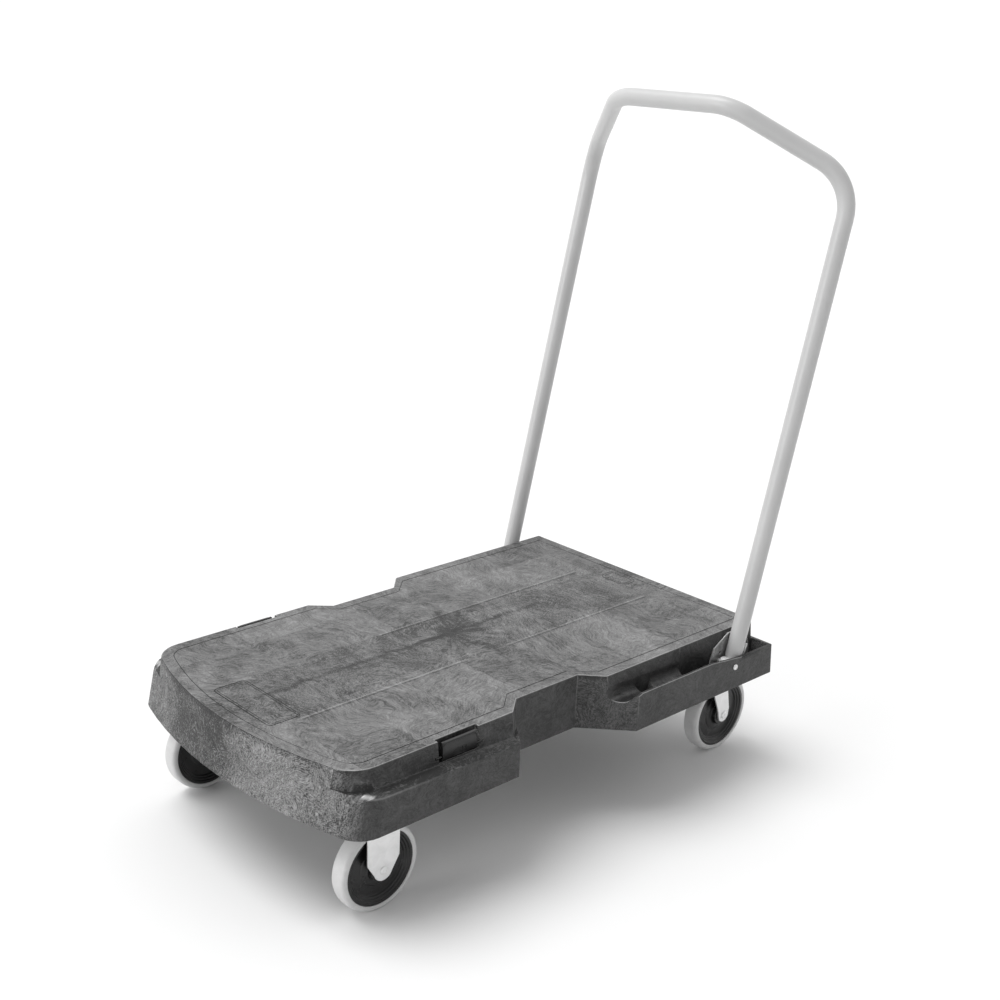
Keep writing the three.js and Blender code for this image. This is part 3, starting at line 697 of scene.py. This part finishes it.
def is_shell_edge(edge):
    """Whether an edge of the deck is a long one on its outside, clear of small details."""
    if not is_sharp(edge, SHARP_ON_SHELL) or edge.calc_length() < LEAST_LENGTH * MM:
        return False
    middle = (edge.verts[0].co + edge.verts[1].co) / 2
    shortest = min(other.calc_length() for vert in edge.verts for other in vert.link_edges)
    is_hidden = middle.z < SHELL_BOTTOM * MM or any(
        face.normal.z < FACES_DOWN or is_inside(face) or is_in_groove(face)
        for face in edge.link_faces
    )
    return shortest > LEAST_NEIGHBOUR * MM and not is_hidden


def is_in_groove(face):
    """Whether a face is a wall or the floor of a groove in the top."""
    heights = [vert.co.z for vert in face.verts]
    top = DECK_TOP * MM
    return min(heights) > top - 2 * GROOVE_DEPTH * MM and min(heights) < top - 0.1 * MM


def is_inside(face):
    """Whether a face looks into the hollow under the deck."""
    start = face.calc_center_median() + face.normal * (0.2 * MM)
    return SHELL_TREE.ray_cast(start, Vector((0, 0, 1)))[0] is not None


def cut_grooves(mesh):
    """The deck's mesh with its grooves cut in."""
    draft = bpy.data.objects.new("deck_draft", mesh)
    bpy.context.scene.collection.objects.link(draft)
    cutters = make_groove_cutters()
    cut = draft.modifiers.new("grooves", "BOOLEAN")
    cut.operation, cut.solver, cut.object = "DIFFERENCE", "EXACT", cutters
    graph = bpy.context.evaluated_depsgraph_get()
    finished = bpy.data.meshes.new_from_object(draft.evaluated_get(graph))
    for spare in (draft, cutters):
        bpy.data.objects.remove(spare)
    return finished


def make_deck_shell():
    """The deck with its grooves and with rounded edges on the outside."""
    grooved = cut_grooves(mesh_from(welded_copy("deck", 0.3 * MM), "deck_draft"))
    work = bmesh.new()
    work.from_mesh(grooved)
    bmesh.ops.dissolve_limit(work, angle_limit=FLATNESS, verts=work.verts, edges=work.edges)
    round_edges(work, SHELL_ROUNDING * MM, 3, is_shell_edge, clamp=False)
    add_piece("deck_shell", mesh_from(work, "deck_shell"), "base", "deck_plastic", ["deck"])


make_deck_shell()


# ---------------------------------------------------------------- handle

PIVOT = at(0, 329.5, 178.8)
LEAN = math.radians(12.5)
LEG_X, LEG_OFFSET, LEG_END, LEG_CORNER = 244.6, 16.2, -5.5, 713.5  # from the pivot
BAR_HALF, BAR_RISE, BAR_FORWARD = 104, 779.5, 114.4
BENDS = (75, 70, 70, 75)  # the radius of each bend along the tube
TUBE_RADIUS, TUBE_WALL, TUBE_SIDES = 12.62, 1.5, 40


def bend_points(before, corner, after, radius, steps=14):
    """Points along the arc that rounds a corner of the handle's line."""
    back, ahead = (before - corner).normalized(), (after - corner).normalized()
    half_angle = back.angle(ahead) / 2
    middle = corner + (back + ahead).normalized() * (radius / math.sin(half_angle))
    start = corner + back * (radius / math.tan(half_angle)) - middle
    axis = start.cross(corner + ahead * (radius / math.tan(half_angle)) - middle)
    turn = math.pi - 2 * half_angle
    return [
        middle + Matrix.Rotation(turn * i / steps, 3, axis) @ start for i in range(steps + 1)
    ]


def handle_line():
    """The middle line of the upright handle, as points of the frame."""
    right = [
        Vector((LEG_X, LEG_OFFSET, LEG_END)), Vector((LEG_X, LEG_OFFSET, LEG_CORNER)),
        Vector((BAR_HALF, -BAR_FORWARD, BAR_RISE)),
    ]
    corners = right + [Vector((-p.x, p.y, p.z)) for p in reversed(right)]
    line = [corners[0]]
    for i, radius in enumerate(BENDS, start=1):
        line += bend_points(corners[i - 1], corners[i], corners[i + 1], radius)
    line.append(corners[-1])
    lean = Matrix.Rotation(-LEAN, 3, "X")
    return [PIVOT + lean @ point * MM for point in line]


def ring_points(line, radii, sides):
    """Rings of points round a line, one for each radius, carried along it without a twist."""
    direction = (line[1] - line[0]).normalized()
    across = direction.orthogonal().normalized()
    points = []
    for i, point in enumerate(line):
        new_direction = (line[min(i + 1, len(line) - 1)] - line[max(i - 1, 0)]).normalized()
        across = direction.rotation_difference(new_direction) @ across
        direction = new_direction
        up = direction.cross(across)
        for radius in radii:
            for k in range(sides):
                angle = 2 * math.pi * k / sides
                spoke = across * math.cos(angle) + up * math.sin(angle)
                points.append(point + spoke * (radius * MM))
    return points


def make_tube_mesh(name, line, radii, sides):
    """A tube along a line: hollow for two radii, solid for one."""
    ring = sides * len(radii)
    last = (len(line) - 1) * ring
    faces = []
    for k in range(sides):
        m = (k + 1) % sides
        for start in range(0, last, sides):
            high = start + ring
            faces.append((start + k, start + m, high + m, high + k))
        if len(radii) == 2:
            for end in (0, last):
                faces.append((end + k, end + m, end + sides + m, end + sides + k))
    if len(radii) == 1:
        faces += [tuple(range(sides)), tuple(range(last, last + sides))]
    return mesh_of(name, ring_points(line, radii, sides), faces)


def make_handle_tube():
    radii = (TUBE_RADIUS, TUBE_RADIUS - TUBE_WALL)
    mesh = make_tube_mesh("handle_tube_fine", handle_line(), radii, TUBE_SIDES)
    add_piece("handle_tube_fine", mesh, "handle", "handle_paint", ["handle_tube"])


make_handle_tube()


# ---------------------------------------------------------------- casters, pivots and latches

WHEEL_X, WHEEL_RADIUS = 197.5, 62.5
AXLE_Y = {"front": -309, "rear": 382}
RIM = 53.5  # where the tread meets the hub
BORE, BUSH_RADIUS, BUSH_HALF = 5.2, 9, 15.2
FORK_FACE = 18.3
BOLT_TIP, BOLT_FACE = 215.5, 262.8
PIN_X, PIN_Y, PIN_Z, PIN_RADIUS, PIN_HALF = 226.5, -197, 203, 2, 40

# Half profiles of the wheel's parts: radius, distance from the wheel's middle, rounding.
TREAD = [(RIM + 0.3, 12.2, 0.4), (58.2, 13, 2.4), (61.6, 10.6, 2.6), (WHEEL_RADIUS, 5.5, 2.0)]
HUB = [
    (9.3, 14.6, 0.3), (17, 14.6, 1.0), (18.2, 7.5, 1.4), (27, 6.0, 1.5), (28.2, 5.0, 0.5),
    (42.4, 4.2, 1.2), (43.6, 6.8, 0.7), (45.6, 7.0, 0.7), (46.8, 9.2, 0.7), (49, 9.4, 0.7),
    (50.2, 11.5, 0.6), (RIM, 11.5, 0.5),
]
BUSH = [(BORE, BUSH_HALF, 0.3), (BUSH_RADIUS, BUSH_HALF, 0.4)]
AXLE = [
    (0, FORK_FACE + 0.9, 0), (1.5, FORK_FACE + 0.9, 0.3), (2.1, FORK_FACE + 1.6, 0.4),
    (4.6, FORK_FACE + 1.5, 0.8), (6.3, FORK_FACE, 0), (5, FORK_FACE, 0),
]


def scaled(profile, factor):
    """A profile with its distances along the axis multiplied by a factor."""
    return [(radius, factor * along, rounding) for radius, along, rounding in profile]


def both_ways(half):
    """A profile drawn for one side of the wheel, followed by its mirror image."""
    return half + scaled(reversed(half), -1)


def make_wheel(place, side_name, side):
    wheel, swivel = f"{place}_wheel_{side_name}", f"swivel_{side_name}"
    holder = "base" if place == "front" else swivel
    centre = at(side * WHEEL_X, AXLE_Y[place], WHEEL_RADIUS)
    tread, hub, bush, axle = (
        f"{place}_{part}_{side_name}" for part in ("wheel_tread", "wheel_hub", "wheel_bush", "axle")
    )
    turned(tread, both_ways(TREAD), centre, wheel, "grey_rubber", 96, loop=True)
    turned(hub, both_ways(HUB), centre, wheel, "hub_plastic", 96, loop=True)
    turned(bush, both_ways(BUSH), centre, holder, "bush_steel", 48, loop=True)
    turned(axle, both_ways(AXLE), centre, holder, "zinc_steel", 48)


def make_pivot_bolt(side_name, side):
    """The pivot's round head, proud of the deck's side, with its shank."""
    profile = [
        (0, BOLT_TIP, 0), (2.4, BOLT_TIP, 0.4), (3, BOLT_TIP + 1, 0), (3, BOLT_FACE, 0),
        (4.6, BOLT_FACE, 0.2), (4.4, BOLT_FACE + 1.5, 1.0), (3.0, BOLT_FACE + 2.7, 0.6),
        (2.0, BOLT_FACE + 3.0, 0.2), (1.6, BOLT_FACE + 2.2, 0.2), (0, BOLT_FACE + 2.2, 0),
    ]
    turned(f"pivot_bolt_{side_name}", scaled(profile, side), PIVOT, "base", "zinc_steel", 40)


def make_latch_pin(side_name, side):
    profile = [(0, -PIN_HALF, 0), (PIN_RADIUS, -PIN_HALF, 0.5),
               (PIN_RADIUS, PIN_HALF, 0.5), (0, PIN_HALF, 0)]
    turned(
        f"latch_pin_{side_name}", profile, at(side * PIN_X, PIN_Y, PIN_Z), "base", "zinc_steel",
        24, axis="y", material=BLACK_STEEL,
    )


WIRE_RADIUS, WIRE_BEND, WIRE_CLEAR = 1.5, 5, 0.9
FACE_STEP, FACE_DEPTH, CLIP_ROUNDING = 1.5, 0.2, 0.7


def wire_line(low, high, side):
    """The line of the wire round a latch clip's outer face: up, along its top, and down."""
    x = (high.x if side > 0 else low.x) - side * (WIRE_RADIUS + WIRE_CLEAR) * MM
    inset = WIRE_RADIUS * MM
    front, back, top, foot = low.y + inset, high.y - inset, high.z - inset, low.z + 3 * inset
    corners = [Vector(place) for place in (
        (x, front, foot), (x, front, top), (x, back, top), (x, back, foot),
    )]
    line = [corners[0]]
    for i in (1, 2):
        arc = bend_points(corners[i - 1] / MM, corners[i] / MM, corners[i + 1] / MM, WIRE_BEND, 6)
        line += [point * MM for point in arc]
    return line + [corners[3]]


def make_latch_clip(side_name, side):
    """The latch's plate, set back a little from the black wire that runs round it."""
    name = f"latch_clip_{side_name}"
    low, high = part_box(name)
    work = welded_copy(name)
    face = max(side * vert.co.x for vert in work.verts)
    for vert in work.verts:
        if side * vert.co.x > face - FACE_DEPTH * MM:
            vert.co.x -= side * FACE_STEP * MM
    round_edges(work, CLIP_ROUNDING * MM, 2, is_sharp)
    work.from_mesh(make_tube_mesh("latch_wire", wire_line(low, high, side), (WIRE_RADIUS,), 12))
    mesh = mesh_from(work, name + "_soft")
    add_piece(name + "_soft", mesh, f"latch_{side_name}", "clip_plastic", [name])


def make_fittings(side_name, side):
    """Everything that hangs on one side of the deck."""
    make_wheel("front", side_name, side)
    make_wheel("rear", side_name, side)
    make_pivot_bolt(side_name, side)
    make_latch_pin(side_name, side)
    soften(f"handle_lug_{side_name}", "handle", 0.8, BRACKET_STEEL)
    soften(f"pivot_bracket_{side_name}", "base", 0.6, BRACKET_STEEL)
    soften(f"pivot_nut_{side_name}", "base", 0.5)
    make_latch_clip(side_name, side)
    soften(f"front_fork_{side_name}", "base", 0.6)
    soften(f"rear_swivel_fork_{side_name}", f"swivel_{side_name}", 0.6)
    for part in ("rear_mount_plate", "rear_ball_race", "rear_kingpin"):
        soften(f"{part}_{side_name}", "base", 0.5)
    for place in ("front", "rear"):
        for number in range(1, 5):
            soften(f"{place}_caster_screw_{side_name}_{number}", "base", 0.4)


for side_name, side in SIDES:
    make_fittings(side_name, side)


# ---------------------------------------------------------------- camera, light and floor

LENS, SENSOR = 51.38, 36
CAMERA_PLACE = at(1395.7, -1301.8, 1087.3)
CAMERA_AZIMUTH, CAMERA_ELEVATION, CAMERA_ROLL = 48.09, 22.20, 1.763  # degrees
CAMERA_SHIFT = (0.0685, 0.0834)
FLOOR_REACH = 200.0  # metres


def make_camera():
    data = bpy.data.cameras.new("camera")
    camera = bpy.data.objects.new("camera", data)
    bpy.context.scene.collection.objects.link(camera)
    azimuth, elevation = math.radians(CAMERA_AZIMUTH), math.radians(CAMERA_ELEVATION)
    back = Vector((
        math.sin(azimuth) * math.cos(elevation),
        -math.cos(azimuth) * math.cos(elevation),
        math.sin(elevation),
    ))
    level = (-back).to_track_quat("-Z", "Y").to_matrix().to_4x4()
    roll = Matrix.Rotation(math.radians(CAMERA_ROLL), 4, "Z")
    camera.matrix_world = Matrix.Translation(CAMERA_PLACE) @ level @ roll
    data.lens, data.sensor_width = LENS, SENSOR
    data.shift_x, data.shift_y = CAMERA_SHIFT
    data.clip_start, data.clip_end = 0.05, 60
    bpy.context.scene.camera = camera


def make_floor():
    unit_square = ((-1, -1), (1, -1), (1, 1), (-1, 1))
    corners = [(FLOOR_REACH * x, FLOOR_REACH * y, 0) for x, y in unit_square]
    mesh = mesh_of("studio_floor", corners, [(0, 1, 2, 3)])
    floor = bpy.data.objects.new("studio_floor", mesh)
    bpy.context.scene.collection.objects.link(floor)
    graph = Graph("studio_floor", 0.9)
    graph.grey(graph.span(graph.noise(graph.place, 0.7, 2.0), 0.3, 0.7, 0.80, 0.82))
    mesh.materials.append(graph.material)


def make_world(bright, dim):
    """White all round, bright behind the object and dimmer on the camera's side."""
    world = bpy.data.worlds.new("world")
    bpy.context.scene.world = world
    world.use_nodes = True
    tree = world.node_tree
    place = tree.nodes.new("ShaderNodeTexCoord")
    behind = tree.nodes.new("ShaderNodeVectorMath")
    behind.operation = "DOT_PRODUCT"
    azimuth = math.radians(CAMERA_AZIMUTH)
    behind.inputs[1].default_value = (-math.sin(azimuth), math.cos(azimuth), 0.0)
    span = tree.nodes.new("ShaderNodeMapRange")
    for name, value in (("From Min", -0.4), ("From Max", 0.5), ("To Min", dim), ("To Max", bright)):
        span.inputs[name].default_value = value
    background = tree.nodes["Background"]
    background.inputs["Color"].default_value = (1, 1, 1, 1)
    tree.links.new(place.outputs["Generated"], behind.inputs[0])
    tree.links.new(behind.outputs["Value"], span.inputs["Value"])
    tree.links.new(span.outputs[0], background.inputs["Strength"])


def add_sun(name, direction, strength, softness):
    """A light from far away, whose shadows soften with the degrees it spans."""
    data = bpy.data.lights.new(name, "SUN")
    data.energy, data.angle = strength, math.radians(softness)
    sun = bpy.data.objects.new(name, data)
    bpy.context.scene.collection.objects.link(sun)
    sun.rotation_euler = (-Vector(direction)).to_track_quat("-Z", "Y").to_euler()


make_camera()
make_floor()
make_world(bright=1.05, dim=0.45)
add_sun("key", (-0.34, -0.30, 1.0), strength=1.9, softness=40)
add_sun("front", (-0.30, -1.0, 0.30), strength=0.9, softness=30)
bpy.context.scene.view_settings.view_transform = "Standard"
